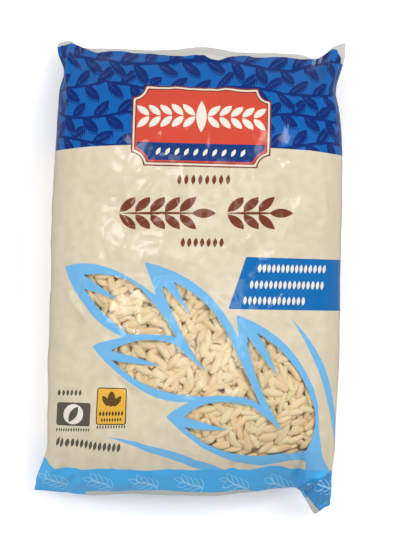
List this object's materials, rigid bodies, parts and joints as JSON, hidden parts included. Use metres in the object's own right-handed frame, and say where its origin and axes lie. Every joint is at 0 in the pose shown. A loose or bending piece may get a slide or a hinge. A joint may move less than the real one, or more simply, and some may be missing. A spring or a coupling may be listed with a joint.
{
  "type": "bag of puffed rice cereal",
  "caption": "Sealed film pillow bag of puffed rice lying on its back, with clear panes shaped like an ear of grain that show the rice.",
  "frame": {"origin": "centre of the bounding box, on the surface that the bag lies on", "axes": "+X to the right across the printed front, +Y from the bottom seal to the top seal, +Z out of the printed front, up"},
  "size_m": [0.1936, 0.3031, 0.078],
  "materials": {
    "printed_film": "thin printed plastic film, satin gloss, cream with blue bands",
    "clear_film": "thin clear plastic film, glossy",
    "puffed_rice": "dry matt puffed grain"
  },
  "bodies": {
    "root": {"bag": "printed_film", "puffed_rice_upper": "puffed_rice", "puffed_rice_middle": "puffed_rice", "puffed_rice_lower": "puffed_rice"}
  },
  "joints": []
}
